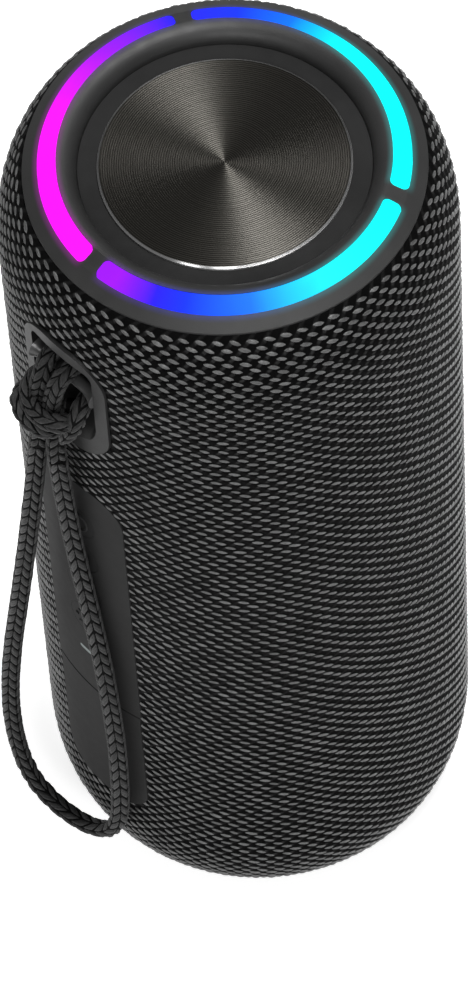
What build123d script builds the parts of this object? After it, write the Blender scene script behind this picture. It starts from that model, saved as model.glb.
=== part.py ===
from build123d import *
import os
from math import asin, degrees, pi, radians, sqrt, tan

os.makedirs("parts", exist_ok=True)

# Portable cylindrical speaker. Millimetres, +Z up, origin at the centre of the foot's underside.
# The control panel and the strap mount face -Y, and the two drivers face +X and -X.

# ---------------------------------------------------------------- driving dimensions
body_radius = 45.0
body_height = 218.5
end_rise = 3.9                # crest of an end ring above the edge of the fabric
shoulder_height = 19.7        # height over which the fabric curves in at each end
shoulder_width = 8.97         # horizontal half axis of the shoulder's ellipse
shoulder_depth = 21.1         # vertical half axis of the shoulder's ellipse
fabric_thickness = 1.6
housing_gap = 0.05            # glue line under the fabric
housing_bore = 39.6

fabric_top = body_height - end_rise
fabric_bottom = end_rise
shoulder_angle = degrees(asin(shoulder_height / shoulder_depth))
shell_radius = body_radius - fabric_thickness - housing_gap

# Light ring, between the crest and the bevel of the top ring
light_inner = 32.45
light_outer = 36.2
light_drop = 1.65             # the light band falls this much towards the outside
light_arcs = 3
light_gap = 5.6               # plastic bridge between two arcs, in degrees
light_corner = 1.2

# Passive radiators, one at each end
disc_radius = 24.7
disc_recess = 2.6             # from the crest of the end ring down to the disc
ring_bore = 28.6              # foot of the slope inside the light ring
ring_slope = 3.4              # height of that slope

# Control panel on the front
panel_proud = 0.3
panel_width = 24.6
panel_low = 30.0
panel_high = 152.0
panel_corner = 8.0
panel_radius = body_radius + panel_proud
seam_height = 71.0            # joint between the panel and the port flap
seam_gap = 0.35
button_radius = 5.0
button_clearance = 0.08
button_pitch = 13.2
button_top = 137.6
button_names = ["power_button", "pairing_button", "play_button", "light_button"]
led_height = 85.0

# Strap mount above the panel
mount_width = 22.8
mount_low = 168.0
mount_high = 200.5
mount_corner = 8.5
mount_proud = 0.5
mount_radius = body_radius + mount_proud
bar_radius = 1.25
bar_y = -43.3
bar_height = 189.0
pocket_width = 17.0
pocket_back = -36.8

# Drivers
driver_height = 165.0
driver_face = 29.0
driver_hole = 21.0

# Lanyard
cord_diameter = 4.0


# ---------------------------------------------------------------- helpers
def turned(points):
    """Solid of revolution about Z from an outline of (radius, height) points."""
    with BuildPart(mode=Mode.PRIVATE) as part:
        with BuildSketch(Plane.XZ):
            with BuildLine():
                Polyline(*points, close=True)
            make_face()
        revolve(axis=Axis.Z)
    return part.part


def end_turned(points, at_top):
    """Turned piece for one end. Heights are measured down from the crest of that end's ring."""
    if at_top:
        return turned([(r, body_height - depth) for r, depth in points])
    return turned([(r, depth) for r, depth in points])


def envelope(inset):
    """The speaker's sides and shoulders, pushed in by inset, cut flat at the fabric's edges."""
    centre = body_radius - shoulder_width
    half_width = shoulder_width - inset
    with BuildPart(mode=Mode.PRIVATE) as part:
        with BuildSketch(Plane.XZ):
            with BuildLine():
                low = EllipticalCenterArc(
                    (centre, fabric_bottom + shoulder_height), half_width, shoulder_depth,
                    start_angle=-shoulder_angle, arc_size=shoulder_angle,
                )
                high = EllipticalCenterArc(
                    (centre, fabric_top - shoulder_height), half_width, shoulder_depth,
                    start_angle=0, arc_size=shoulder_angle,
                )
                Line(low @ 1, high @ 0)
                Polyline(high @ 1, (0, fabric_top), (0, fabric_bottom), low @ 0)
            make_face()
        revolve(axis=Axis.Z)
    return part.part


def tube(outer, inner, low, high):
    """Plain tube about Z between two heights."""
    return turned([(inner, low), (outer, low), (outer, high), (inner, high)])


def front_prism(width, low, high, corner, near=-60.0, far=-30.0):
    """Rounded block seen from the front, running in depth from near to far."""
    with BuildPart(mode=Mode.PRIVATE) as part:
        with BuildSketch(Plane.XZ.offset(-far)):
            with Locations((0, (low + high) / 2)):
                RectangleRounded(width, high - low, corner)
        extrude(amount=far - near)
    return part.part


def block(size, centre):
    """Plain block at a centre."""
    return Pos(*centre) * Box(*size, mode=Mode.PRIVATE)


def rod(radius, length, centre, axis):
    """Plain rod at a centre, along X, Y or Z."""
    turn = {"X": Rot(0, 90, 0), "Y": Rot(90, 0, 0), "Z": Rot(0, 0, 0)}[axis]
    return Pos(*centre) * turn * Cylinder(radius, length, mode=Mode.PRIVATE)


def save(part, name):
    """Label a finished piece and write it."""
    part.label = name
    export_step(part, f"parts/{name}.step")


# ---------------------------------------------------------------- housing and fabric
fabric_window_panel = front_prism(panel_width, panel_low, panel_high, panel_corner)
fabric_window_mount = front_prism(mount_width, mount_low, mount_high, mount_corner)

with BuildPart() as fabric_sleeve:
    add(envelope(0))
    add(envelope(fabric_thickness), mode=Mode.SUBTRACT)
    add(fabric_window_panel, mode=Mode.SUBTRACT)
    add(fabric_window_mount, mode=Mode.SUBTRACT)
save(fabric_sleeve.part, "fabric_sleeve")

gasket_thickness = 0.8
gasket_inner = 38.0
gasket_outer = 39.5
ring_seat = 8.3               # underside of an end ring, down from its crest
shell_end = ring_seat + gasket_thickness
tub_width = 20.0
tray_width = 21.0
tray_low = 34.0
tray_high = 68.0
stem_hole = 2.0
driver_screw_offset = 17.25   # across and up from the driver's axis
driver_screw_places = [
    (y, driver_height + z)
    for y in (-driver_screw_offset, driver_screw_offset)
    for z in (-driver_screw_offset, driver_screw_offset)
]

with BuildPart() as housing:
    add(envelope(fabric_thickness + housing_gap))
    add(tube(body_radius + 5, 0, shell_end, body_height - shell_end), mode=Mode.INTERSECT)
    add(tube(housing_bore, 0, 0, body_height), mode=Mode.SUBTRACT)
    collar = rod(27.5, 2 * body_radius, (0, 0, driver_height), "X")
    core = block((2 * driver_face, 80, 80), (0, 0, driver_height))
    shell_solid = tube(shell_radius, 0, driver_height - 40, driver_height + 29)
    add((collar - core) & shell_solid)
    add(rod(driver_hole, 2 * body_radius + 2, (0, 0, driver_height), "X"), mode=Mode.SUBTRACT)
    for y, z in driver_screw_places:
        add(rod(0.85, 68.0, (0, y, z), "X"), mode=Mode.SUBTRACT)
    add(front_prism(tub_width, mount_low + 2, mount_high - 3, 6.5), mode=Mode.SUBTRACT)
    add(front_prism(tray_width, tray_low, tray_high, 3), mode=Mode.SUBTRACT)
    for place in range(len(button_names)):
        height = button_top - place * button_pitch
        add(rod(stem_hole, 12, (0, -42, height), "Y"), mode=Mode.SUBTRACT)
    add(block((7, 12, 1.6), (0, -42, led_height)), mode=Mode.SUBTRACT)
save(housing.part, "housing")


# ---------------------------------------------------------------- end rings, gaskets, foot
light_sunk = 0.05             # the light's inner edge, down from the crest
foot_fit = 0.05
groove_inner = light_inner + foot_fit
groove_outer = light_outer - foot_fit
groove_depth = 5.9            # floor of the light slots, down from the crest
seat_radius = 40.2            # where an end ring meets the housing, under the fabric
ring_edge = 39.2


def end_ring(crest):
    """Bottom end ring with its crest at a height: a bevel outside it, and a round slope in to the bore."""
    slope_width = light_inner - ring_bore
    bevel = crest + light_drop + light_sunk
    with BuildPart(mode=Mode.PRIVATE) as part:
        with BuildSketch(Plane.XZ):
            with BuildLine():
                slope = EllipticalCenterArc(
                    (light_inner, crest + ring_slope), slope_width, ring_slope,
                    start_angle=180, arc_size=90,
                )
                Polyline(
                    slope @ 1,
                    (light_outer, bevel),
                    (ring_edge, end_rise - 0.5),
                    (ring_edge, end_rise),
                    (ring_edge - 0.7, end_rise),
                    (seat_radius, ring_seat),
                    (ring_bore, ring_seat),
                    slope @ 0,
                )
            make_face()
        revolve(axis=Axis.Z)
    return part.part


def light_sector(start_angle, clearance):
    """Flat sector with rounded corners, one of the light ring's arcs."""
    trim = degrees(clearance / light_inner)
    first = start_angle + light_gap / 2 + trim
    size = 360 / light_arcs - light_gap - 2 * trim
    with BuildSketch(mode=Mode.PRIVATE) as sketch:
        with BuildLine():
            inner = CenterArc((0, 0), light_inner + clearance, first, size)
            outer = CenterArc((0, 0), light_outer - clearance, first, size)
            Line(inner @ 0, outer @ 0)
            Line(inner @ 1, outer @ 1)
        make_face()
        fillet(sketch.vertices(), light_corner)
    return sketch.sketch


light_starts = [-90 + 360 / light_arcs * place for place in range(light_arcs)]

with BuildPart() as top_end_ring:
    add(mirror(end_ring(0), Plane.XY.offset(body_height / 2), mode=Mode.PRIVATE))
    board_space = tube(groove_outer, groove_inner, body_height - ring_seat, body_height - groove_depth)
    add(board_space, mode=Mode.SUBTRACT)
    for start_angle in light_starts:
        with BuildSketch(Plane.XY.offset(body_height - groove_depth - 1)):
            add(light_sector(start_angle, 0))
        extrude(amount=groove_depth + 2, mode=Mode.SUBTRACT)
save(top_end_ring.part, "top_end_ring")

foot_rise = 0.6               # the bottom ring stands this far above the foot's underside
with BuildPart() as bottom_end_ring:
    add(end_ring(foot_rise))
    add(tube(light_outer, light_inner, 0, groove_depth), mode=Mode.SUBTRACT)
save(bottom_end_ring.part, "bottom_end_ring")

with BuildPart() as rubber_foot:
    add(tube(groove_outer, groove_inner, 0, groove_depth))
    chamfer(rubber_foot.edges().group_by(Axis.Z)[0], 0.4)
save(rubber_foot.part, "rubber_foot")

for end_name, at_top in (("top", True), ("bottom", False)):
    with BuildPart() as gasket:
        outline = [
            (gasket_inner, ring_seat),
            (gasket_outer, ring_seat),
            (gasket_outer, shell_end),
            (gasket_inner, shell_end),
        ]
        add(end_turned(outline, at_top))
    save(gasket.part, f"{end_name}_gasket")


# ---------------------------------------------------------------- light ring
light_clearance = 0.06
guide_names = ["light_guide_right", "light_guide_back", "light_guide_left"]
guide_top = end_turned(
    [
        (0, light_sunk),
        (light_inner, light_sunk),
        (light_outer, light_drop + light_sunk),
        (light_outer, groove_depth),
        (0, groove_depth),
    ],
    True,
)
for guide_name, start_angle in zip(guide_names, light_starts):
    with BuildPart() as light_guide:
        with BuildSketch(Plane.XY.offset(body_height - groove_depth)):
            add(light_sector(start_angle, light_clearance))
        extrude(amount=groove_depth)
        add(guide_top, mode=Mode.INTERSECT)
    save(light_guide.part, guide_name)

board_floor = body_height - ring_seat
led_count = 24
with BuildPart() as light_board:
    add(tube(groove_outer - 0.1, groove_inner + 0.1, board_floor, board_floor + 1.2))
    with PolarLocations((light_inner + light_outer) / 2, led_count, start_angle=7.5):
        with Locations((0, 0, board_floor + 1.2)):
            Box(2, 2, 0.8, align=(Align.CENTER, Align.CENTER, Align.MIN))
save(light_board.part, "light_board")


# ---------------------------------------------------------------- passive radiators
flange_depth = ring_seat + 1.6
surround_drop = 0.9            # the surround's face below the face of the disc
surround_sheet = 0.7
disc_lap = 1.2                # the surround runs this far under the disc
surround_depth = disc_recess + surround_drop
upstand_depth = surround_depth + surround_sheet
upstand_bore = 27.5

for end_name, at_top in (("top", True), ("bottom", False)):
    with BuildPart() as radiator_frame:
        outline = [
            (26.6, flange_depth),
            (37.6, flange_depth),
            (37.6, ring_seat),
            (ring_bore - 0.1, ring_seat),
            (ring_bore - 0.1, upstand_depth),
            (upstand_bore, upstand_depth),
            (upstand_bore, ring_seat),
            (26.6, ring_seat),
        ]
        add(end_turned(outline, at_top))
    save(radiator_frame.part, f"{end_name}_radiator_frame")

    with BuildPart() as radiator_surround:
        outline = [
            (disc_radius - disc_lap, surround_depth),
            (ring_bore - 0.1, surround_depth),
            (ring_bore - 0.1, upstand_depth),
            (disc_radius - disc_lap, upstand_depth),
        ]
        add(end_turned(outline, at_top))
    save(radiator_surround.part, f"{end_name}_radiator_surround")

    with BuildPart() as radiator_disc:
        disc_bottom = disc_recess + surround_drop
        outline = [
            (0, disc_recess),
            (disc_radius - 0.5, disc_recess),
            (disc_radius, disc_recess + 0.4),
            (disc_radius, disc_bottom),
            (0, disc_bottom),
        ]
        add(end_turned(outline, at_top))
    save(radiator_disc.part, f"{end_name}_radiator_disc")

    with BuildPart() as radiator_weight:
        outline = [(0, disc_bottom), (11, disc_bottom), (11, 8.4), (10, 9.4), (0, 9.4)]
        add(end_turned(outline, at_top))
    save(radiator_weight.part, f"{end_name}_radiator_weight")


# ---------------------------------------------------------------- strap mount
tub_wall = 1.3
pocket_lip = 12.0             # round lip under the bar, where a finger slides in
mount_skin = tube(mount_radius, shell_radius, mount_low - 1, mount_high + 1)
mount_body = tube(mount_radius, 0, mount_low - 1, mount_high + 1)

with BuildPart() as pocket:
    with BuildSketch(Plane.YZ):
        with BuildLine():
            lip = CenterArc((pocket_lip - mount_radius, 170.4), pocket_lip, 118, 62)
            Polyline(
                lip @ 0, (pocket_back, 184.5), (pocket_back, 195.4), (-44, 196.8), (-50, 199.6),
                (-50, 170.4), lip @ 1,
            )
        make_face()
    extrude(amount=pocket_width / 2, both=True)
    side_edges = pocket.faces().sort_by(Axis.X)[-1].edges() + pocket.faces().sort_by(Axis.X)[0].edges()
    inner_side_edges = [edge for edge in side_edges if edge.center().Y > -49]
    fillet(inner_side_edges, 2.0)

with BuildPart() as strap_mount_plate:
    add(mount_skin & front_prism(mount_width - 0.1, mount_low + 0.05, mount_high - 0.05, mount_corner))
    add(
        mount_body
        & front_prism(tub_width - 0.1, mount_low + 2.05, mount_high - 3.05, 6.5, far=pocket_back + tub_wall)
    )
    add(pocket.part, mode=Mode.SUBTRACT)
save(strap_mount_plate.part, "strap_mount_plate")

bar_half = pocket_width / 2
bar_flare_length = 4.0
bar_flare_rise = 1.3


def bar_shape(clearance):
    """Round bar across the pocket that flares towards both ends."""
    radius = bar_radius + clearance
    flare_start = bar_half - bar_flare_length
    with BuildPart(mode=Mode.PRIVATE) as part:
        with BuildSketch(Plane(origin=(0, bar_y, bar_height), x_dir=(1, 0, 0), z_dir=(0, -1, 0))):
            with BuildLine():
                Line((0, 0), (0, radius))
                Line((0, radius), (flare_start, radius))
                flare = TangentArc(
                    (flare_start, radius), (bar_half, radius + bar_flare_rise), tangent=(1, 0))
                Polyline(flare @ 1, (bar_half, 0), (0, 0))
            make_face()
            mirror(about=Plane.YZ)
        revolve(axis=Axis((0, bar_y, bar_height), (1, 0, 0)))
    return part.part


with BuildPart() as strap_bar:
    add(bar_shape(0))
save(strap_bar.part, "strap_bar")


# ---------------------------------------------------------------- control panel and buttons
panel_skin = tube(panel_radius, shell_radius, panel_low - 1, panel_high + 1)
panel_outline = front_prism(panel_width - 0.1, panel_low + 0.05, panel_high - 0.05, panel_corner)
above_seam = block((60, 60, 200), (0, -40, seam_height + 100))
flap_top = seam_height - seam_gap
below_seam = block((60, 60, 200), (0, -40, flap_top - 100))
button_heights = [button_top - place * button_pitch for place in range(len(button_names))]

with BuildPart() as control_panel:
    add(panel_skin & panel_outline & above_seam)
    for height in button_heights:
        add(rod(button_radius + button_clearance, 12, (0, -44, height), "Y"), mode=Mode.SUBTRACT)
    add(front_prism(6.6, led_height - 0.6, led_height + 0.6, 0.59), mode=Mode.SUBTRACT)
save(control_panel.part, "control_panel")

cap_thickness = 1.3
cap_skin = tube(panel_radius, panel_radius - cap_thickness, panel_low, panel_high)
stem_radius = 1.6
stem_end = -39.3
for button_name, height in zip(button_names, button_heights):
    with BuildPart() as button:
        add(rod(button_radius, 12, (0, -44, height), "Y") & cap_skin)
        stem_length = panel_radius - cap_thickness / 2 + stem_end
        add(rod(stem_radius, stem_length, (0, stem_end - stem_length / 2, height), "Y"))
    save(button.part, button_name)

with BuildPart() as status_led_lens:
    lens_skin = tube(panel_radius, 40.0, led_height - 2, led_height + 2)
    add(lens_skin & front_prism(6.5, led_height - 0.55, led_height + 0.55, 0.54))
save(status_led_lens.part, "status_led_lens")

board_face = -36.5
board_thickness = 1.2
switch_height = 2.2
with BuildPart() as button_board:
    board_width = 2 * sqrt(housing_bore**2 - board_face**2) - 0.4
    board_low = led_height - 5
    board_high = button_top + 8
    add(
        block(
            (board_width, board_thickness, board_high - board_low),
            (0, board_face + board_thickness / 2, (board_low + board_high) / 2),
        )
    )
    add(block((3, 1.0, 1.2), (0, board_face - 0.5, led_height)))
save(button_board.part, "button_board")

with BuildPart() as tact_switches:
    for height in button_heights:
        add(block((5.2, 1.5, 5.2), (0, board_face - 0.75, height)))
        add(rod(1.2, switch_height - 1.5, (0, board_face - 1.5 - (switch_height - 1.5) / 2, height), "Y"))
save(tact_switches.part, "tact_switches")


# ---------------------------------------------------------------- port flap, tray and sockets
flap_inset = 0.35
flap_thickness = 1.7
lip_width = 17.4
tray_bore_width = 18.0
tray_bore_low = 36.0
tray_bore_high = 66.0
tray_floor = -37.0
tray_back = -35.5
usb_height = 44.0
aux_height = 58.0
socket_depth = 5.3
aux_radius = 1.8

with BuildPart() as port_flap:
    flap_skin = tube(panel_radius, panel_radius - flap_thickness, panel_low - 1, seam_height)
    flap_outline = front_prism(
        panel_width - 2 * flap_inset, panel_low + flap_inset, panel_high, panel_corner - flap_inset
    )
    add(flap_skin & flap_outline & below_seam)
    lip_outer = front_prism(lip_width, tray_bore_low + 0.3, tray_bore_high - 0.3, 1.7, far=-42.2)
    lip_inner = front_prism(lip_width - 2.4, tray_bore_low + 1.5, tray_bore_high - 1.5, 0.6)
    top_edges = port_flap.edges().filter_by_position(Axis.Z, flap_top - 0.01, flap_top + 0.01)
    chamfer(top_edges.sort_by(Axis.Y)[0], 0.3)
    add((lip_outer - lip_inner) & tube(panel_radius - flap_thickness + 0.2, 0, tray_low, tray_high))
save(port_flap.part, "port_flap")

with BuildPart() as port_tray:
    tray_limit = tube(shell_radius, 0, tray_low, tray_high)
    add(front_prism(tray_width - 0.1, tray_low + 0.05, tray_high - 0.05, 3, far=tray_back) & tray_limit)
    add(
        front_prism(tray_bore_width, tray_bore_low, tray_bore_high, 2, far=tray_floor),
        mode=Mode.SUBTRACT,
    )
    add(front_prism(9.1, usb_height - 1.75, usb_height + 1.75, 1.7), mode=Mode.SUBTRACT)
    add(rod(3.1, 20, (0, -40, aux_height), "Y"), mode=Mode.SUBTRACT)
save(port_tray.part, "port_tray")

socket_back = tray_back + socket_depth
with BuildPart() as usb_socket:
    add(front_prism(9.0, usb_height - 1.65, usb_height + 1.65, 1.6, near=tray_floor, far=socket_back))
    add(
        front_prism(8.4, usb_height - 1.35, usb_height + 1.35, 1.3, near=-60, far=socket_back - 0.4),
        mode=Mode.SUBTRACT,
    )
    add(block((6.6, 4.6, 0.7), (0, socket_back - 0.4 - 2.3, usb_height)))
save(usb_socket.part, "usb_socket")

with BuildPart() as aux_socket:
    collar_length = socket_back - tray_floor
    add(rod(3.0, collar_length, (0, (tray_floor + socket_back) / 2, aux_height), "Y"))
    add(block((7, socket_back - tray_back, 7), (0, (tray_back + socket_back) / 2, aux_height)))
    add(rod(aux_radius, collar_length + 4, (0, (tray_floor + socket_back) / 2 - 2.5, aux_height), "Y"),
        mode=Mode.SUBTRACT)
save(aux_socket.part, "aux_socket")


# ---------------------------------------------------------------- chassis, boards and battery
chassis_front = -26.0
chassis_thickness = 2.0
chassis_low = 24.0
chassis_high = 134.0
main_front = socket_back
main_thickness = 1.6
main_width = 48.0
main_low = 30.0
main_high = 130.0
standoff_places = [(x, z) for x in (-20, 20) for z in (main_low + 5, main_high - 5)]
main_back = main_front + main_thickness

with BuildPart() as chassis:
    chassis_width = 2 * sqrt(housing_bore**2 - chassis_front**2) - 0.2
    add(
        block(
            (chassis_width, chassis_thickness, chassis_high - chassis_low),
            (0, chassis_front + chassis_thickness / 2, (chassis_low + chassis_high) / 2),
        )
    )
    for x, z in standoff_places:
        standoff = chassis_front - main_back
        add(rod(3.0, standoff, (x, main_back + standoff / 2, z), "Y"))
    for x, z in standoff_places:
        add(rod(0.85, 12, (x, chassis_front, z), "Y"), mode=Mode.SUBTRACT)
save(chassis.part, "chassis")

with BuildPart() as main_board:
    add(
        block(
            (main_width, main_thickness, main_high - main_low),
            (0, main_front + main_thickness / 2, (main_low + main_high) / 2),
        )
    )
    for x, z in standoff_places:
        add(rod(1.1, 12, (x, main_front, z), "Y"), mode=Mode.SUBTRACT)
    add(block((9, 1.2, 9), (-12, main_front - 0.6, 84)))
    add(block((7, 1.6, 7), (12, main_front - 0.8, 96)))
    add(block((6, 2.4, 6), (-13, main_front - 1.2, 110)))
    add(block((12, 4.0, 5), (0, main_front - 2.0, 124)))
save(main_board.part, "main_board")

with BuildPart() as board_screws:
    for x, z in standoff_places:
        add(rod(1.9, 1.2, (x, main_front - 0.6, z), "Y"))
        add(rod(0.8, 6.0, (x, main_front + 2.9, z), "Y"))
save(board_screws.part, "board_screws")

cell_radius = 9.2
cell_length = 65.0
cell_low = 42.0
cell_y = chassis_front + chassis_thickness + 0.3 + cell_radius
cell_x = cell_radius + 0.4
holder_wall = 2.0
holder_front = chassis_front + chassis_thickness
holder_back = holder_front + 2 * cell_radius - 2

with BuildPart() as battery_holder:
    holder_width = 2 * (cell_x + cell_radius + 0.4) + 2 * holder_wall
    holder_height = cell_length + 2 * holder_wall + 0.4
    holder_middle = cell_low + cell_length / 2
    add(
        block(
            (holder_width, holder_back - holder_front, holder_height),
            (0, (holder_front + holder_back) / 2, holder_middle),
        )
    )
    for side in (-1, 1):
        add(
            rod(cell_radius + 0.3, cell_length + 0.4, (side * cell_x, cell_y, holder_middle), "Z"),
            mode=Mode.SUBTRACT,
        )
    add(
        block((holder_width - 2 * holder_wall, 20, cell_length + 0.4), (0, cell_y + 10, holder_middle)),
        mode=Mode.SUBTRACT,
    )
save(battery_holder.part, "battery_holder")

with BuildPart() as battery_cells:
    for side in (-1, 1):
        add(rod(cell_radius, cell_length, (side * cell_x, cell_y, cell_low + cell_length / 2), "Z"))
    chamfer(battery_cells.edges().filter_by(GeomType.CIRCLE), 0.6)
save(battery_cells.part, "battery_cells")


# ---------------------------------------------------------------- drivers
def driver_piece(points, side):
    """Solid of revolution about a driver's axis, from (depth behind the driver's face, radius) points."""
    with BuildPart(mode=Mode.PRIVATE) as part:
        with BuildSketch(Plane(origin=(0, 0, driver_height), x_dir=(side, 0, 0), z_dir=(0, -side, 0))):
            with BuildLine():
                Polyline(*[(driver_face - depth, radius) for depth, radius in points], close=True)
            make_face()
        revolve(axis=Axis((0, 0, driver_height), (1, 0, 0)))
    return part.part


flange_radius = 26.4
flange_thickness = 2.4
driver_depth = 24.0
magnet_depth = 15.0
driver_outlines = {
    "basket": [
        (magnet_depth, 9.0), (magnet_depth, 13.5), (4.0, 22.4), (flange_thickness, 22.4),
        (flange_thickness, flange_radius), (0, flange_radius), (0, 22.6), (1.4, 22.6), (1.4, 21.2),
        (3.4, 21.2), (13.6, 12.6), (13.6, 9.0),
    ],
    "magnet": [
        (driver_depth, 0), (driver_depth, 14.0), (magnet_depth, 14.0), (magnet_depth, 7.8), (20.0, 7.8),
        (20.0, 5.9), (magnet_depth, 5.9), (magnet_depth, 0),
    ],
    "cone": [
        (18.4, 6.5), (18.4, 7.2), (11.0, 7.2), (10.6, 8.2), (2.4, 18.2), (1.8, 18.2), (1.8, 17.4), (9.4, 8.0),
        (8.4, 5.0), (7.8, 0), (8.4, 0), (9.0, 4.8), (10.2, 6.5),
    ],
    "surround": [
        (1.4, 21.3), (1.4, 22.5), (0.8, 22.5), (0.8, 21.1), (0.1, 20.6), (0.1, 19.2), (1.1, 18.3),
        (1.1, 17.6), (1.75, 17.6), (1.75, 18.6), (0.8, 19.5), (0.8, 20.4),
    ],
}
driver_sides = {"right": 1, "left": -1}
for side_name, side in driver_sides.items():
    for piece_name, outline in driver_outlines.items():
        with BuildPart() as driver:
            add(driver_piece(outline, side))
            if piece_name == "basket":
                for y, z in driver_screw_places:
                    add(rod(1.1, 4 * flange_thickness, (side * driver_face, y, z), "X"), mode=Mode.SUBTRACT)
        save(driver.part, f"{side_name}_driver_{piece_name}")

with BuildPart() as driver_screws:
    for side in driver_sides.values():
        for y, z in driver_screw_places:
            head_middle = driver_face - flange_thickness - 0.6
            shank_middle = driver_face - flange_thickness + 3.4
            add(rod(1.7, 1.2, (side * head_middle, y, z), "X"))
            add(rod(0.8, 6.8, (side * shank_middle, y, z), "X"))
save(driver_screws.part, "driver_screws")


# ---------------------------------------------------------------- lanyard
hitch_clearance = 0.05
sleeve_radius = 5.4
with BuildPart() as knot:
    add(block((15.0, 6.8, 21.5), (-3.6, -50.3, 175.25)))
    fillet(knot.edges(), 2.6)

with BuildPart() as lanyard_hitch:
    add(rod(sleeve_radius, 10.4, (-2.0, bar_y, bar_height), "X"))
    add(knot.part)
    add(block((9.0, 4.6, 7.5), (-2.0, -48.2, 183.75)))
    add(bar_shape(hitch_clearance), mode=Mode.SUBTRACT)
save(lanyard_hitch.part, "lanyard_hitch")

lanyard_route = [
    (-4.4, -49.1, 165.5),
    (-6.2, -49.6, 151.0),
    (-8.9, -50.3, 131.0),
    (-12.6, -51.2, 105.5),
    (-16.8, -52.0, 79.5),
    (-19.2, -52.6, 60.0),
    (-19.9, -52.8, 45.5),
    (-19.4, -52.7, 34.5),
    (-17.8, -52.4, 25.4),
    (-14.4, -51.9, 19.4),
    (-8.7, -51.0, 16.0),
    (-2.1, -50.0, 16.1),
    (3.6, -49.0, 19.6),
    (6.8, -48.2, 25.6),
    (7.9, -47.8, 34.8),
    (8.2, -47.5, 47.0),
    (7.9, -47.2, 64.0),
    (6.6, -47.2, 86.0),
    (4.2, -47.3, 108.0),
    (1.7, -47.6, 129.0),
    (0.6, -48.2, 149.0),
    (0.9, -49.0, 165.5),
]


def corner_radii(points):
    """The largest even arc at each corner: 0.45 of the shorter run over the tangent of half the turn."""
    radii = []
    places = [Vector(*point) for point in points]
    for before, here, after in zip(places, places[1:], places[2:]):
        run_in = here - before
        run_out = after - here
        half_turn = radians(run_in.get_angle(run_out)) / 2
        radii.append(0.45 * min(run_in.length, run_out.length) / tan(half_turn))
    return radii


lanyard_radii = corner_radii(lanyard_route)
print("lanyard corner radii", [round(radius, 1) for radius in lanyard_radii])
with BuildPart() as lanyard_loop:
    with BuildLine() as lanyard_path:
        FilletPolyline(*lanyard_route, radius=lanyard_radii)
    with BuildSketch(Plane(origin=lanyard_path.line @ 0, z_dir=lanyard_path.line % 0)):
        Circle(cord_diameter / 2)
    sweep()
lanyard_length = sum(edge.length for edge in lanyard_path.edges())
lanyard_section = pi * cord_diameter**2 / 4
print("lanyard length", round(lanyard_length, 1), "volume", round(lanyard_loop.part.volume, 1),
      "section x length", round(lanyard_section * lanyard_length, 1))
save(lanyard_loop.part, "lanyard_loop")
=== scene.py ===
"""Portable speaker with a light ring and a lanyard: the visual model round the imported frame.

Metres, +Z up, origin in the middle of the base. The control panel and the lanyard face -Y.
"""
from math import asin, cos, pi, radians, sin

import bpy
import numpy as np
from mathutils import Matrix, Quaternion, Vector


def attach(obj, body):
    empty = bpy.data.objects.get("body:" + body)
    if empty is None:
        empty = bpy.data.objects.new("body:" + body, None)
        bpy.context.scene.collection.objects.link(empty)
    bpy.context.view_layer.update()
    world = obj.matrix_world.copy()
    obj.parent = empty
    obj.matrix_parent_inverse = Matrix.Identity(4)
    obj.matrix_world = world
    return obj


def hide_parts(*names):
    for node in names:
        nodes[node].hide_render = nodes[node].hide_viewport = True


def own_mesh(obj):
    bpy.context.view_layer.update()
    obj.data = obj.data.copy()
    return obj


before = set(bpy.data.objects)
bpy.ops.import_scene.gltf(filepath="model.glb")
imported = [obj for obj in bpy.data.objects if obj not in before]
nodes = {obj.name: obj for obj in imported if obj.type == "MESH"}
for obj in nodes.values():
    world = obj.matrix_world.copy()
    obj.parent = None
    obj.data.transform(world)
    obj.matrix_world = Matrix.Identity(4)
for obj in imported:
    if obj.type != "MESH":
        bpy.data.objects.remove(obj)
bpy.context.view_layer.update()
scene = bpy.context.scene
mm = 0.001

# ---------------------------------------------------------------- driving dimensions, as in the CAD
body_radius = 45.0 * mm
body_height = 218.5 * mm
fabric_low = 3.9 * mm
fabric_high = 214.6 * mm
shoulder_height = 19.7 * mm
shoulder_width = 8.97 * mm
shoulder_depth = 21.1 * mm
panel_radius = 45.3 * mm
button_heights = {"power_button": 137.6 * mm, "pairing_button": 124.4 * mm,
                  "play_button": 111.2 * mm, "light_button": 98.0 * mm}
light_inner = 32.45 * mm
light_outer = 36.2 * mm
disc_rim = 24.25 * mm
driver_face = 29.0 * mm
driver_height = 165.0 * mm
cord_radius = 2.0 * mm
# width, low edge, high edge and corner of the two plates that the fabric goes round
panel_plate = (24.6 * mm, 30 * mm, 152 * mm, 8 * mm)
mount_plate = (22.8 * mm, 168 * mm, 200.5 * mm, 8.5 * mm)
# the weave: columns round the sleeve, and the height of a row
weave_columns = 154
weave_pitch = 3.15 * mm


# ---------------------------------------------------------------- camera
def add_camera():
    """A long lens above and to the right of the front."""
    back = Vector((0.4070, -0.3437, 0.8463)).normalized()
    right = Vector((0.6897, 0.7231, -0.0380))
    right = (right - right.dot(back) * back).normalized()
    up = back.cross(right)
    camera = bpy.data.objects.new("camera", bpy.data.cameras.new("camera"))
    camera.data.lens = 241.9
    camera.data.clip_end = 20.0
    camera.matrix_world = Matrix((right, up, back)).transposed().to_4x4()
    camera.location = (0.56634, -0.48199, 1.2753)
    scene.collection.objects.link(camera)
    scene.camera = camera


add_camera()


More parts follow.
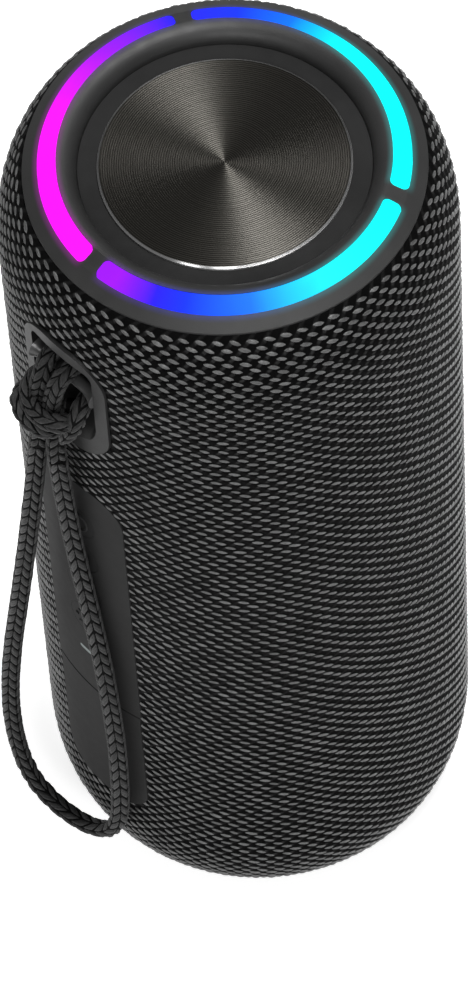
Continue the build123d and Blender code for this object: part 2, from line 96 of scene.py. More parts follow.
# ---------------------------------------------------------------- mesh helpers
def mesh_piece(name, vertices, faces, smooth=True):
    """A mesh object in the scene. The faces are a list, and may differ in their number of corners."""
    mesh = bpy.data.meshes.new(name)
    mesh.from_pydata(np.asarray(vertices).tolist(), [], faces)
    mesh.polygons.foreach_set("use_smooth", [smooth] * len(mesh.polygons))
    piece = bpy.data.objects.new(name, mesh)
    scene.collection.objects.link(piece)
    return piece


def grid_faces(rows, columns, closed=False):
    """Quads of a grid of rows x columns vertices. A closed grid joins its last column to its first."""
    wide = columns if closed else columns - 1
    row, column = np.meshgrid(np.arange(rows - 1), np.arange(wide), indexing="ij")
    after = (column + 1) % columns
    corners = [row * columns + column, row * columns + after,
               (row + 1) * columns + after, (row + 1) * columns + column]
    return np.stack(corners, -1).reshape(-1, 4)


def repeated(faces, count, step):
    """The same faces for each of count patches of step vertices."""
    return (faces[None] + step * np.arange(count)[:, None, None]).reshape(-1, faces.shape[1])


def store(piece, name, values):
    """Keeps a vector for each vertex, for the materials to read."""
    attribute = piece.data.attributes.new(name, "FLOAT_VECTOR", "POINT")
    attribute.data.foreach_set("vector", np.asarray(values, np.float32).ravel())


# ---------------------------------------------------------------- cords
def smooth_line(route):
    """Points along the smooth NURBS line of a route, in metres, as Blender draws that line."""
    curve = bpy.data.curves.new("route", "CURVE")
    curve.dimensions = "3D"
    spline = curve.splines.new("NURBS")
    spline.points.add(len(route) - 1)
    for point, place in zip(spline.points, route):
        point.co = (*[value * mm for value in place], 1.0)
    spline.order_u = 3
    spline.use_endpoint_u = True
    spline.resolution_u = 24
    carrier = bpy.data.objects.new("route", curve)
    mesh = bpy.data.meshes.new_from_object(carrier)
    line = np.array([vertex.co for vertex in mesh.vertices])
    bpy.data.objects.remove(carrier)
    bpy.data.curves.remove(curve)
    bpy.data.meshes.remove(mesh)
    return line


def line_frames(line):
    """Distance along a line, and two directions across it that don't twist."""
    steps = np.diff(line, axis=0)
    distance = np.concatenate([[0], np.cumsum(np.linalg.norm(steps, axis=1))])
    along = np.gradient(line, axis=0)
    along /= np.linalg.norm(along, axis=1)[:, None]
    side = np.cross(along[0], (1.0, 0.0, 0.0))
    sides = []
    for direction in along:
        side = side - np.dot(side, direction) * direction
        side = side / np.linalg.norm(side)
        sides.append(side)
    sides = np.array(sides)
    return distance, sides, np.cross(along, sides)


def braided(name, line, phase=0.0, pitch=3.7 * mm):
    """A braided cord: a dark core, and columns of plump yarns that lean left and right in turn."""
    columns = 6
    fill = 0.95
    lean = 0.44 * pitch
    core = cord_radius - 0.28 * mm
    swell = 0.34 * mm
    ridge = 0.04 * mm
    distance, across, over = line_frames(line)
    length = distance[-1]

    def place(s, angle, radius):
        s = np.clip(s, 0, length)
        centre = np.stack([np.interp(s, distance, line[:, k]) for k in range(3)], -1)
        first = np.stack([np.interp(s, distance, across[:, k]) for k in range(3)], -1)
        second = np.stack([np.interp(s, distance, over[:, k]) for k in range(3)], -1)
        return centre + radius[..., None] * (np.cos(angle)[..., None] * first
                                             + np.sin(angle)[..., None] * second)

    ring = 16
    stops = max(4, int(length / (1.5 * mm)))
    s, angle = np.meshgrid(np.linspace(0, length, stops), np.arange(ring) * 2 * pi / ring, indexing="ij")
    core_points = place(s, angle, np.full_like(s, core)).reshape(-1, 3)
    ends = [line[0], line[-1]]
    core_quads = grid_faces(stops, ring, closed=True)
    caps = [(len(core_points) + end, row * ring + k, row * ring + (k + 1) % ring)
            for end, row in ((0, 0), (1, stops - 1)) for k in range(ring)]

    rows = int(length / pitch)
    across_steps, along_steps = 7, 11
    c, v = np.meshgrid(np.linspace(-1, 1, across_steps), np.linspace(-1, 1, along_steps))
    column, row = np.meshgrid(np.arange(columns), np.arange(rows), indexing="ij")
    column, row = column.ravel()[:, None], row.ravel()[:, None]
    c, v = c.ravel()[None], v.ravel()[None]
    leaning = np.where(column % 2 == 0, 1.0, -1.0)
    centre_s = (row + 0.5) * length / rows
    s = centre_s + v * 0.40 * pitch + leaning * lean * c
    angle = phase + (column + 0.5 * c * fill) * 2 * pi / columns
    bulge = np.sqrt(np.clip(1 - 0.95 * np.abs(v)**3, 0, 1)) * np.sqrt(np.clip(1 - 0.95 * c**4, 0, 1))
    shade = np.random.RandomState(7).rand(rows * columns, 1)
    radius = core - 0.1 * mm + (swell + 0.1 * mm) * bulge - ridge * (1 + np.cos(3 * pi * v))
    radius = radius - 0.08 * mm * shade
    yarns = place(s, angle, radius).reshape(-1, 3)
    patch = across_steps * along_steps
    yarn_quads = repeated(grid_faces(along_steps, across_steps), rows * columns, patch)

    start = len(core_points) + len(ends)
    vertices = np.concatenate([core_points, ends, yarns])
    faces = core_quads.tolist() + caps + (yarn_quads + start).tolist()
    piece = mesh_piece(name, vertices, faces)
    core_faces = len(core_quads) + len(caps)
    for _ in ("yarn", "core"):
        piece.data.materials.append(None)
    piece.data.polygons.foreach_set("material_index", [1] * core_faces + [0] * len(yarn_quads))
    facts = np.stack([np.broadcast_to(a, (rows * columns, patch)) for a in (c, v, shade)], -1)
    store(piece, "yarn", np.concatenate([np.zeros((start, 3)), facts.reshape(-1, 3)]))
    return piece


lanyard_route = [
    (-4.4, -49.1, 165.5), (-6.2, -49.6, 151.0), (-8.9, -50.3, 131.0), (-12.6, -51.2, 105.5),
    (-16.8, -52.0, 79.5), (-19.2, -52.6, 60.0), (-19.9, -52.8, 45.5), (-19.4, -52.7, 34.5),
    (-17.8, -52.4, 25.4), (-14.4, -51.9, 19.4), (-8.7, -51.0, 16.0), (-2.1, -50.0, 16.1),
    (3.6, -49.0, 19.6), (6.8, -48.2, 25.6), (7.9, -47.8, 34.8), (8.2, -47.5, 47.0),
    (7.9, -47.2, 64.0), (6.6, -47.2, 86.0), (4.2, -47.3, 108.0), (1.7, -47.6, 129.0),
    (0.6, -48.2, 149.0), (0.9, -49.0, 165.5),
]
hitch_routes = {
    "hitch_left_wrap": [
        (-4.0, -40.0, 181.5), (-4.0, -38.6, 188.0), (-3.8, -40.6, 193.4), (-3.2, -45.6, 193.4),
        (-2.7, -48.0, 189.2), (-3.7, -48.2, 184.3), (-3.8, -48.0, 178.5), (-3.9, -48.4, 172.0),
        (-4.4, -49.1, 165.5)],
    "hitch_right_wrap": [
        (1.8, -40.0, 181.5), (1.8, -38.6, 188.0), (1.9, -40.6, 193.0), (1.9, -44.8, 193.0),
        (1.3, -47.0, 190.8), (0.8, -48.0, 187.0), (-0.2, -48.2, 182.0), (-0.6, -47.4, 176.5)],
    "hitch_low_crossing": [
        (-5.0, -43.4, 179.6), (-7.6, -45.0, 179.6), (-7.9, -48.4, 180.2), (-6.7, -50.9, 181.0),
        (-5.0, -51.9, 180.7), (-3.2, -52.3, 179.3), (-0.6, -52.3, 179.2), (1.2, -51.4, 178.3),
        (2.5, -49.2, 178.5), (2.6, -46.0, 180.0)],
    "hitch_high_crossing": [
        (-4.6, -43.6, 184.4), (-6.4, -45.4, 184.8), (-5.9, -48.4, 184.2), (-4.5, -50.2, 183.0),
        (-2.4, -51.2, 181.9), (0.4, -51.3, 181.7), (2.8, -50.8, 182.0), (4.6, -49.2, 181.6),
        (4.2, -46.8, 180.0)],
    "hitch_right_leg": [
        (0.9, -49.0, 165.5), (0.8, -49.0, 169.5), (0.9, -48.6, 173.5), (1.8, -47.2, 177.0),
        (2.0, -44.2, 181.0)],
    "hitch_right_tuck": [
        (3.4, -48.4, 175.6), (5.3, -47.9, 179.2), (5.9, -47.0, 182.8), (5.6, -45.2, 185.2),
        (4.8, -42.0, 184.8), (4.4, -39.6, 186.4)],
}

lanyard_line = smooth_line(lanyard_route)
hitch_pitch = 2.5 * mm
lanyard = braided("lanyard_cord", lanyard_line)
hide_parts("lanyard_loop")
hitch_strands = [braided(name, smooth_line(route), 0.4 * k, hitch_pitch)
                 for k, (name, route) in enumerate(hitch_routes.items())]
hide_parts("lanyard_hitch")
for piece in [lanyard, *hitch_strands]:
    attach(piece, "lanyard")
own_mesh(lanyard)


# ---------------------------------------------------------------- driver surrounds
def surround_ring(side, outward):
    """The rubber roll between a driver's cone and its basket, turned about the driver's axis."""
    segments = 96
    # depth behind the driver's face, and radius, round the section of the roll
    section = np.array([
        (1.4, 21.3), (1.4, 22.5), (0.8, 22.5), (0.8, 21.1), (0.1, 20.6), (0.1, 19.2),
        (1.1, 18.3), (1.1, 17.6), (1.75, 17.6), (1.75, 18.6), (0.8, 19.5), (0.8, 20.4)]) * mm
    turn = np.linspace(0, 2 * pi, segments, endpoint=False)
    depth, angle = np.meshgrid(section[:, 0], turn, indexing="ij")
    radius = section[:, 1, None]
    x = outward * (driver_face - depth)
    vertices = np.stack([x, radius * np.cos(angle), driver_height + radius * np.sin(angle)], -1)
    corner = np.arange(x.size).reshape(x.shape)
    below, beside = np.roll(corner, -1, 0), np.roll(corner, -outward, 1)
    faces = np.stack([corner, beside, np.roll(beside, -1, 0), below], -1).reshape(-1, 4)
    ring = mesh_piece(f"{side}_surround_roll", vertices.reshape(-1, 3), faces.tolist(), smooth=False)
    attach(ring, "speaker")
    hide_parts(f"{side}_driver_surround")
    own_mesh(ring)
    return ring


surround_rings = [surround_ring("right", 1), surround_ring("left", -1)]


# ---------------------------------------------------------------- fabric sleeve
def sleeve_profile():
    """Radius and height along the sleeve from its lower edge to its upper edge, and the distance."""
    turn = asin(shoulder_height / shoulder_depth)
    angles = np.linspace(0, turn, 40)
    centre = body_radius - shoulder_width
    radius = centre + shoulder_width * np.cos(angles)
    rise = shoulder_depth * np.sin(angles)
    low = fabric_low + shoulder_height
    high = fabric_high - shoulder_height
    radii = np.concatenate([radius[::-1], radius])
    heights = np.concatenate([low - rise[::-1], high + rise])
    steps = np.hypot(np.diff(radii), np.diff(heights))
    return radii, heights, np.concatenate([[0], np.cumsum(steps)])


def outside_plate(x, z, plate, margin):
    """True where (x, z) lies outside a plate's rounded rectangle grown by margin."""
    width, low, high, corner = plate
    half_width, half_height = width / 2 - corner, (high - low) / 2 - corner
    dx = np.abs(x) - half_width
    dz = np.abs(z - (low + high) / 2) - half_height
    gap = np.hypot(np.maximum(dx, 0), np.maximum(dz, 0)) + np.minimum(np.maximum(dx, dz), 0) - corner
    return gap > margin


def fabric_yarns():
    """The weave's light yarns: each a small plump float, in staggered columns round the sleeve."""
    long_half, wide_half = 1.20 * mm, 0.50 * mm
    lean = radians(-18)
    swell = 0.34 * mm
    radii, heights, distance = sleeve_profile()
    rows = int(distance[-1] / weave_pitch) - 1
    column, row = np.meshgrid(np.arange(weave_columns), np.arange(rows), indexing="ij")
    column, row = column.ravel(), row.ravel()
    azimuth = column * 2 * pi / weave_columns
    along = (row + 0.75 + 0.5 * (column % 2)) * distance[-1] / (rows + 0.75)
    x = np.interp(along, distance, radii) * np.sin(azimuth)
    y = -np.interp(along, distance, radii) * np.cos(azimuth)
    z = np.interp(along, distance, heights)
    clear = outside_plate(x, z, panel_plate, -0.3 * mm) & outside_plate(x, z, mount_plate, 0.1 * mm)
    behind = y > 0
    kept = behind | clear
    azimuth, along = azimuth[kept][:, None], along[kept][:, None]
    count = len(azimuth)

    random = np.random.RandomState(3)
    size = 1 + 0.07 * random.randn(count, 1)
    turn = lean + radians(3.5) * random.randn(count, 1)
    shade = random.rand(count, 1)
    long_steps, wide_steps = 5, 3
    u, v = np.meshgrid(np.linspace(-1, 1, long_steps), np.linspace(-1, 1, wide_steps), indexing="ij")
    u, v = u.ravel()[None], v.ravel()[None]
    taper = np.sqrt(1 - 0.86 * u**2)
    long_way = u * long_half * size
    wide_way = v * wide_half * taper * size
    sideways = long_way * np.cos(turn) - wide_way * np.sin(turn)
    upwards = long_way * np.sin(turn) + wide_way * np.cos(turn)
    height = swell * (1 - 0.95 * u**2) * (1 - v**2) * (0.85 + 0.3 * shade) - 0.06 * mm

    path = np.clip(along + upwards, 0, distance[-1])
    radius = np.interp(path, distance, radii)
    level = np.interp(path, distance, heights)
    lean_out = np.interp(path, distance, np.gradient(heights, distance))
    lean_up = -np.interp(path, distance, np.gradient(radii, distance))
    angle = azimuth + sideways / radius
    radius = radius + lean_out * height
    level = level + lean_up * height
    vertices = np.stack([radius * np.sin(angle), -radius * np.cos(angle), level], -1).reshape(-1, 3)
    patch = long_steps * wide_steps
    faces = repeated(grid_faces(long_steps, wide_steps), count, patch)
    piece = mesh_piece("fabric_yarns", vertices, faces.tolist())
    facts = np.stack([np.broadcast_to(a, (count, patch)) for a in (u, v, shade)], -1)
    store(piece, "yarn", facts.reshape(-1, 3))
    return piece


yarns = fabric_yarns()
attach(yarns, "speaker")


# ---------------------------------------------------------------- raised marks on the buttons
def raised_stroke(name, points, closed, width=0.6 * mm, height=0.30 * mm):
    """A rounded raised line on the panel, through (x, z) points."""
    points = np.array(points)
    count = len(points)
    if closed:
        ahead, behind = np.roll(points, -1, 0), np.roll(points, 1, 0)
    else:
        ahead = np.concatenate([points[1:], points[-1:]])
        behind = np.concatenate([points[:1], points[:-1]])
    along = ahead - behind
    along /= np.linalg.norm(along, axis=1)[:, None]
    across = np.stack([-along[:, 1], along[:, 0]], -1)
    arch = 7
    turn = np.linspace(0, pi, arch)
    flat = points[:, None] + across[:, None] * (np.cos(turn) * width / 2)[None, :, None]
    lift = panel_radius - 0.03 * mm + np.sin(turn)[None] * height
    x, z = flat[..., 0], flat[..., 1]
    y = -np.sqrt(lift**2 - x**2)
    vertices = np.stack([x, y, z], -1).reshape(-1, 3)
    faces = grid_faces(count, arch).tolist()
    if closed:
        last = (count - 1) * arch
        faces += [[last + k, last + k + 1, k + 1, k] for k in range(arch - 1)]
    return mesh_piece(name, vertices, faces)


def circle_points(radius, height, count=48):
    angles = np.arange(count) * 2 * pi / count
    return [(radius * cos(a), height + radius * sin(a)) for a in angles]


def polygon_points(corners, height, steps=8):
    """Points along the sides of a closed polygon."""
    found = []
    for k, start in enumerate(corners):
        end = corners[(k + 1) % len(corners)]
        for step in range(steps):
            share = step / steps
            found.append((start[0] + share * (end[0] - start[0]),
                          height + start[1] + share * (end[1] - start[1])))
    return found


def power_mark(height):
    return [("power_ring", circle_points(3.0 * mm, height), True)]


def pairing_mark(height):
    """Three upright bars, the middle one taller."""
    bars = [(-2.2, 1.0), (0.0, 2.4), (2.2, 1.0)]
    return [(f"pairing_bar_{k}", [(x * mm, height + z * mm) for z in np.linspace(-half, half, 6)], False)
            for k, (x, half) in enumerate(bars)]


def play_mark(height):
    corners = [(-1.9 * mm, -2.4 * mm), (2.5 * mm, 0.0), (-1.9 * mm, 2.4 * mm)]
    return [("play_triangle", polygon_points(corners, height), True)]


def light_mark(height):
    """A small ring with eight rays."""
    rays = [(f"light_ray_{k}",
             [(r * cos(a) * mm, height + r * sin(a) * mm) for r in (2.5, 2.9, 3.3)], False)
            for k, a in enumerate(np.arange(8) * pi / 4)]
    return [("light_ring", circle_points(1.5 * mm, height, 32), True), *rays]


marks = {"power_button": power_mark, "pairing_button": pairing_mark,
         "play_button": play_mark, "light_button": light_mark}
mark_pieces = []
for button, mark_strokes in marks.items():
    for name, points, closed in mark_strokes(button_heights[button]):
        mark = raised_stroke(name, points, closed)
        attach(mark, button)
        mark_pieces.append(mark)


# ---------------------------------------------------------------- finishes
class Finish:
    """A node material, with short ways to add the nodes that the finishes share."""

    def __init__(self, name, settings):
        self.material = bpy.data.materials.new(name)
        self.material.use_nodes = True
        self.tree = self.material.node_tree
        self.shader = self.tree.nodes["Principled BSDF"]
        for socket, value in settings.items():
            self.shader.inputs[socket].default_value = value
        self.place = self.add("TexCoord").outputs["Object"]

    def add(self, kind, inputs=None, **options):
        node = self.tree.nodes.new("ShaderNode" + kind)
        for option, value in options.items():
            setattr(node, option, value)
        for name, value in (inputs or {}).items():
            self.give(node.inputs[name], value)
        return node

    def give(self, socket, value):
        if isinstance(value, bpy.types.NodeSocket):
            self.tree.links.new(value, socket)
        else:
            socket.default_value = value

    def math(self, operation, *values):
        node = self.add("Math", operation=operation)
        for socket, value in zip(node.inputs, values):
            self.give(socket, value)
        return node.outputs[0]

    def noise(self, scale, detail=3.0, stretch=(1, 1, 1)):
        """Noise with about scale features per metre, stretched along the axes."""
        place = self.add("Mapping", {"Vector": self.place, "Scale": stretch}).outputs[0]
        return self.add("TexNoise", {"Vector": place, "Scale": scale, "Detail": detail}).outputs["Fac"]

    def range(self, value, low, high, to_low, to_high):
        """value between low and high becomes a value between to_low and to_high, smoothly."""
        return self.add("MapRange", {"Value": value, "From Min": low, "From Max": high, "To Min": to_low,
                                     "To Max": to_high}, interpolation_type="SMOOTHSTEP").outputs[0]

    def mix(self, share, first, second):
        node = self.add("Mix", data_type="RGBA")
        self.give(node.inputs[0], share)
        for socket, colour in ((node.inputs[6], first), (node.inputs[7], second)):
            self.give(socket, colour if isinstance(colour, bpy.types.NodeSocket) else (*colour, 1))
        return node.outputs[2]

    def colour(self, value):
        self.give(self.shader.inputs["Base Color"], value)

    def roughness(self, value):
        self.give(self.shader.inputs["Roughness"], value)

    def bump(self, height, distance, strength=1.0):
        node = self.add("Bump", {"Height": height, "Distance": distance, "Strength": strength})
        self.give(self.shader.inputs["Normal"], node.outputs[0])

    def polar(self):
        """Sockets for the angle round Z from -Y, the distance from Z, and the height."""
        parts = self.add("SeparateXYZ", {"Vector": self.place}).outputs
        away = self.math("MULTIPLY", parts["Y"], -1.0)
        angle = self.math("ARCTAN2", parts["X"], away)
        square = self.math("ADD", self.math("MULTIPLY", parts["X"], parts["X"]),
                           self.math("MULTIPLY", parts["Y"], parts["Y"]))
        return angle, self.math("SQRT", square), parts["Z"]


def mould(finish, dark, light, roughness, grain=2500, grain_depth=0.02 * mm, spread=0.04):
    """Slow colour changes, uneven gloss and a fine grain."""
    finish.colour(finish.mix(finish.range(finish.noise(55, 4), 0.35, 0.65, 0, 1), dark, light))
    finish.roughness(finish.range(finish.noise(400, 5), 0.3, 0.7, roughness - spread, roughness + spread))
    finish.bump(finish.noise(grain, 2), grain_depth)


def moulded(name, dark, light, roughness, settings=None, **surface):
    """Moulded plastic or rubber."""
    finish = Finish(name, settings or {})
    mould(finish, dark, light, roughness, **surface)
    return finish.material


def grey(value):
    return (value, value, value)


def sleeve_cloth():
    """Black ground of the weave, with thin dark threads that run diagonally between the yarns."""
    finish = Finish("fabric", {"Specular IOR Level": 0.03})
    angle, _, height = finish.polar()
    across = finish.math("MULTIPLY", angle, weave_columns / (4 * pi))
    up = finish.math("DIVIDE", height, weave_pitch)
    rising = finish.math("SUBTRACT", across, up)
    falling = finish.math("ADD", across, up)
    waves = [finish.math("COSINE", finish.math("MULTIPLY", lines, 2 * pi)) for lines in (rising, falling)]
    thread = finish.range(finish.math("MULTIPLY", waves[0], -1.0), 0.2, 1.0, 0.0, 1.0)
    strand = finish.range(waves[1], -0.2, 0.9, 0.25, 1.0)
    lit = finish.math("MULTIPLY", thread, strand)
    fuzz = finish.noise(2600, 3)
    lit = finish.math("MULTIPLY", lit, finish.range(fuzz, 0.3, 0.7, 0.5, 1.2))
    finish.colour(finish.mix(lit, grey(0.0015), grey(0.022)))
    finish.roughness(finish.range(fuzz, 0.3, 0.7, 0.75, 0.95))
    finish.bump(finish.math("ADD", lit, finish.math("MULTIPLY", waves[1], 0.4)), 0.25 * mm)
    return finish.material


def yarn_cloth(name, dark, light, fibre_scale, gloss, settings):
    """Yarn of fine fibres: streaks along each float, and a shade of its own."""
    finish = Finish(name, settings)
    facts = finish.add("Attribute", attribute_name="yarn").outputs["Vector"]
    parts = finish.add("SeparateXYZ", {"Vector": facts}).outputs
    streaks = finish.add("TexNoise", {
        "Vector": finish.add("CombineXYZ", {
            "X": finish.math("MULTIPLY", parts["X"], 0.8),
            "Y": finish.math("MULTIPLY", parts["Y"], fibre_scale),
            "Z": finish.math("MULTIPLY", parts["Z"], 40.0)}).outputs[0],
        "Scale": 1.6, "Detail": 3.0}).outputs["Fac"]
    own = finish.math("MULTIPLY_ADD", parts["Z"], 0.35, finish.math("MULTIPLY", streaks, 0.75))
    fuzz = finish.range(finish.noise(1600, 3), 0.3, 0.7, 0.35, 1.0)
    finish.colour(finish.mix(finish.math("MULTIPLY", finish.range(own, 0.2, 0.85, 0, 1), fuzz), dark, light))
    finish.roughness(finish.range(streaks, 0.3, 0.7, *gloss))
    finish.bump(streaks, 0.12 * mm, 0.8)
    return finish.material


def spun_metal():
    """Dark turned metal: close rings of uneven height, and gloss that stretches across them."""
    finish = Finish("spun_metal", {"Metallic": 1.0, "Anisotropic": 0.9, "Anisotropic Rotation": 0.25,
                                   "Specular IOR Level": 0.5})
    _, radius, _ = finish.polar()
    ring_pitch = 0.45 * mm
    turns = finish.math("MULTIPLY", radius, 2 * pi / ring_pitch)
    rings = finish.math("MULTIPLY_ADD", finish.math("COSINE", turns), 0.5, 0.5)
    uneven = finish.add("TexNoise", {"W": finish.math("DIVIDE", radius, 1.5 * ring_pitch), "Scale": 1.0,
                                     "Detail": 3.0}, noise_dimensions="1D").outputs["Fac"]
    fine = finish.math("MULTIPLY_ADD", rings, 0.75, finish.math("MULTIPLY", uneven, 0.3))
    rim = finish.range(radius, disc_rim, disc_rim + 0.15 * mm, 0.0, 1.0)
    turned = finish.mix(fine, (0.024, 0.0228, 0.020), (0.072, 0.069, 0.062))
    finish.colour(finish.mix(rim, turned, grey(0.45)))
    finish.roughness(finish.range(fine, 0.25, 0.85, 0.27, 0.33))
    finish.bump(fine, 0.012 * mm)
    tangent = finish.add("Tangent", direction_type="RADIAL", axis="Z").outputs[0]
    finish.give(finish.shader.inputs["Tangent"], tangent)
    return finish.material


magenta, violet, indigo = (1.0, 0.006, 1.0), (0.32, 0.006, 1.0), (0.02, 0.01, 1.0)
blue, azure, cyan = (0.003, 0.03, 1.0), (0.0, 0.16, 1.0), (0.0, 1.0, 1.0)
light_stops = [
    (0, violet), (10, violet), (24, indigo), (34, blue), (55, azure), (86, cyan),
    (184, cyan), (204, azure), (222, blue), (244, indigo), (268, violet), (302, magenta), (360, magenta),
]


def light_colour(finish, angle):
    """The light's colour round the ring, from the middle of the front towards +X."""
    share = finish.math("DIVIDE", finish.math("WRAP", angle, 2 * pi, 0.0), 2 * pi)
    ramp = finish.add("ValToRGB", {"Fac": share})
    elements = ramp.color_ramp.elements
    while len(elements) < len(light_stops):
        elements.new(0.5)
    for element, (degrees, colour) in zip(elements, light_stops):
        element.position = degrees / 360
        element.color = (*colour, 1)
    return ramp.outputs["Color"]


def off_middle(finish, radius):
    """Distance from the middle of the light's width."""
    return finish.math("ABSOLUTE", finish.math("SUBTRACT", radius, (light_inner + light_outer) / 2))


def glowing_guide():
    """Lit diffuser."""
    finish = Finish("light_guide", {"Base Color": (0.0, 0.0, 0.0, 1), "Roughness": 0.5,
                                    "Specular IOR Level": 0.1, "Emission Strength": 1.3})
    angle, _, _ = finish.polar()
    soft = finish.range(finish.noise(120, 2), 0.3, 0.7, 0.92, 1.0)
    glow = finish.mix(soft, (0, 0, 0), light_colour(finish, angle))
    finish.give(finish.shader.inputs["Emission Color"], glow)
    finish.bump(finish.noise(900, 2), 0.01 * mm)
    return finish.material


def painted_glow_ring(dark, light, roughness):
    """Moulded plastic with a painted coloured glow next to the three guides, standing in for their light
    spilling onto it.
    """
    finish = Finish("painted_glow_ring", {"Specular IOR Level": 0.35, "Emission Strength": 1.0})
    angle, radius, _ = finish.polar()
    from_gap = finish.math("PINGPONG", angle, pi / 3)
    # painted glow: the guides' colours as emission on the plastic, fading out about 1.3 mm past the light's
    # edges and gone at the gaps
    beside = finish.range(off_middle(finish, radius), 1.8 * mm, 3.2 * mm, 0.12, 0.0)
    share = finish.math("MULTIPLY", beside, finish.range(from_gap, 0.03, 0.10, 0.0, 1.0))
    finish.give(finish.shader.inputs["Emission Color"],
                finish.mix(share, (0, 0, 0), light_colour(finish, angle)))
    mould(finish, dark, light, roughness, grain=3200)
    return finish.material


def circuit_board():
    """Green board with copper tracks under the lacquer."""
    finish = Finish("board", {"Specular IOR Level": 0.6})
    cells = finish.add("TexVoronoi", {"Vector": finish.place, "Scale": 260.0}, distance="MANHATTAN")
    track = finish.range(cells.outputs["Distance"], 0.30, 0.36, 0.0, 1.0)
    finish.colour(finish.mix(track, (0.010, 0.060, 0.022), (0.018, 0.110, 0.038)))
    finish.roughness(finish.range(finish.noise(400, 3), 0.3, 0.7, 0.28, 0.42))
    finish.bump(track, 0.03 * mm)
    return finish.material


def machined(name, dark, light, roughness, scale=900, settings=None):
    """Bare or plated metal with fine scratches."""
    finish = Finish(name, {"Metallic": 1.0, **(settings or {})})
    scratches = finish.noise(scale, 4, (1, 1, 8))
    finish.colour(finish.mix(scratches, dark, light))
    finish.roughness(finish.range(scratches, 0.3, 0.7, roughness - 0.08, roughness + 0.08))
    finish.bump(scratches, 0.015 * mm)
    return finish.material


def paper_pulp():
    """Pressed paper with fibres."""
    finish = Finish("paper_cone", {"Specular IOR Level": 0.2})
    fibres = finish.noise(1800, 5, (1, 3, 1))
    finish.colour(finish.mix(fibres, grey(0.012), grey(0.045)))
    finish.roughness(finish.range(fibres, 0.3, 0.7, 0.8, 0.95))
    finish.bump(fibres, 0.08 * mm)
    return finish.material


black_rubber = (grey(0.008), grey(0.012))
finishes = {
    "fabric": sleeve_cloth(),
    "housing_plastic": moulded("housing_plastic", grey(0.018), grey(0.026), 0.55),
    "ring_plastic": moulded("ring_plastic", grey(0.016), grey(0.022), 0.46,
                            grain=3200, settings={"Specular IOR Level": 0.5}),
    "panel_rubber": moulded("panel_rubber", grey(0.012), grey(0.014), 0.6, grain=3600,
                            grain_depth=0.006 * mm, spread=0.015, settings={"Specular IOR Level": 0.06}),
    "foot_rubber": moulded("foot_rubber", *black_rubber, 0.8, grain=1500, grain_depth=0.06 * mm),
    "surround_rubber": moulded("surround_rubber", grey(0.009), grey(0.012), 0.75,
                               grain=2800, settings={"Specular IOR Level": 0.12}),
    "gasket_rubber": moulded("gasket_rubber", *black_rubber, 0.75),
    "spun_metal": spun_metal(),
    "steel": machined("steel", grey(0.35), grey(0.55), 0.32),
    "magnet_steel": machined("magnet_steel", grey(0.20), grey(0.32), 0.42),
    "paper_cone": paper_pulp(),
    "light_guide": glowing_guide(),
    "led_lens": moulded("led_lens", (0.045, 0.07, 0.07), (0.06, 0.09, 0.09), 0.3, grain=900),
    "board": circuit_board(),
    "switch_plastic": moulded("switch_plastic", grey(0.010), grey(0.018), 0.4),
    "cell_wrap": moulded("cell_wrap", (0.02, 0.10, 0.22), (0.03, 0.13, 0.27), 0.3),
    "cord_braid": yarn_cloth("cord_braid", grey(0.002), grey(0.032), 7.0, (0.5, 0.75),
                             {"Specular IOR Level": 0.25, "Sheen Weight": 0.05}),
}
strap_plastic = moulded("strap_plastic", grey(0.010), grey(0.012), 0.45, grain=3200, spread=0.02,
                        settings={"Specular IOR Level": 0.12})
own_finishes = {
    # the top ring's plastic carries a painted glow from the light guides
    "top_end_ring": painted_glow_ring(grey(0.010), grey(0.014), 0.5),
    "strap_mount_plate": strap_plastic,
    # the bar is the same plastic as the plate, painted lighter as a painted highlight; its lower roughness
    # gives its real gloss
    "strap_bar": moulded("bar_plastic", grey(0.035), grey(0.040), 0.3, grain=3200, spread=0.02),
}

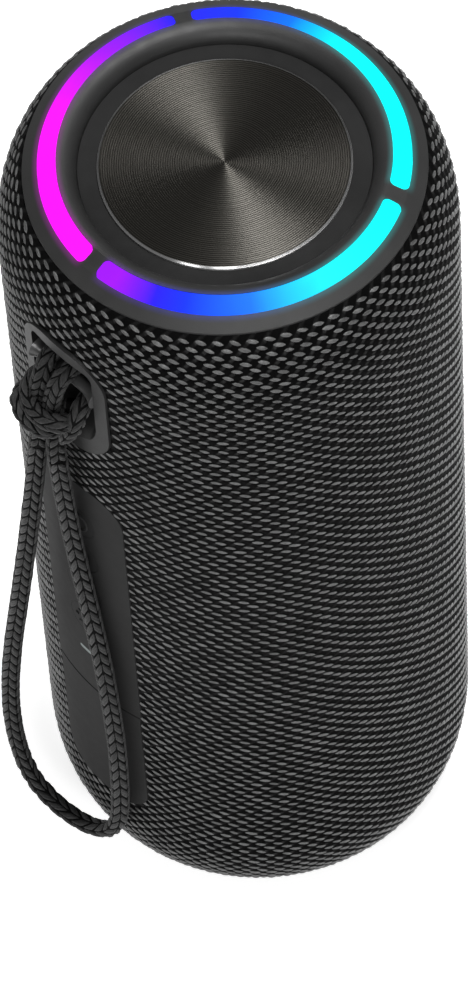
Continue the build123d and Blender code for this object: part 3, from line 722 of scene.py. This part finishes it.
for name, node in nodes.items():
    for slot in node.material_slots:
        slot.material = own_finishes.get(name) or finishes[slot.material.name.split(".")[0]]
cord_core = moulded("cord_core", grey(0.002), grey(0.004), 0.9, settings={"Specular IOR Level": 0.05})
for piece in [lanyard, *hitch_strands]:
    piece.data.materials[0] = finishes["cord_braid"]
    piece.data.materials[1] = cord_core
yarns.data.materials.append(yarn_cloth("fabric_yarn", grey(0.018), grey(0.10), 5.0, (0.26, 0.40),
                                       {"Specular IOR Level": 0.7}))
for mark in mark_pieces:
    mark.data.materials.append(finishes["panel_rubber"])
for ring in surround_rings:
    ring.data.materials.append(finishes["surround_rubber"])


# ---------------------------------------------------------------- floor and light
def add_floor():
    """A large pale sheet under the speaker."""
    size = 6.0
    floor = mesh_piece("floor", [(-size, -size, 0), (size, -size, 0), (size, size, 0), (-size, size, 0)],
                       [(0, 1, 2, 3)], smooth=False)
    finish = Finish("floor_paper", {"Specular IOR Level": 0.1, "Emission Color": (1, 1, 1, 1),
                                    "Emission Strength": 0.62})
    finish.colour(finish.mix(finish.noise(6, 2), grey(0.88), grey(0.92)))
    finish.roughness(finish.range(finish.noise(40, 2), 0.3, 0.7, 0.85, 0.95))
    floor.data.materials.append(finish.material)


def add_softbox(name, place, target, size, watts, turn=0.0):
    """A rectangular light, turned about its own beam so that its sides can follow the picture."""
    light = bpy.data.lights.new(name, "AREA")
    light.shape = "RECTANGLE"
    light.size, light.size_y = size
    light.energy = watts
    box = bpy.data.objects.new(name, light)
    box.location = place
    box.rotation_mode = "QUATERNION"
    aim = (Vector(target) - Vector(place)).to_track_quat("-Z", "Y")
    box.rotation_quaternion = aim @ Quaternion((0, 0, 1), radians(turn))
    scene.collection.objects.link(box)


add_floor()
picture_turn = 46.3
add_softbox("top_box", (0.076, 0.080, 0.75), (0.076, 0.080, 0.0), (0.16, 0.34), 4.2, picture_turn)
add_softbox("back_box", (-0.20, 0.56, 1.0), (0, 0, body_height), (0.2, 0.2), 0.8)
add_softbox("front_box", (0.68, -0.70, 0.78), (0, 0, body_height), (0.24, 0.24), 4.4)
add_softbox("shoulder_box", (0.28, -0.85, 0.85), (0, 0, body_height), (0.22, 0.22), 2.0)

world = bpy.data.worlds.new("studio")
scene.world = world
world.use_nodes = True
world.node_tree.nodes["Background"].inputs["Color"].default_value = (1, 1, 1, 1)
world.node_tree.nodes["Background"].inputs["Strength"].default_value = 0.30
scene.view_settings.view_transform = "Standard"
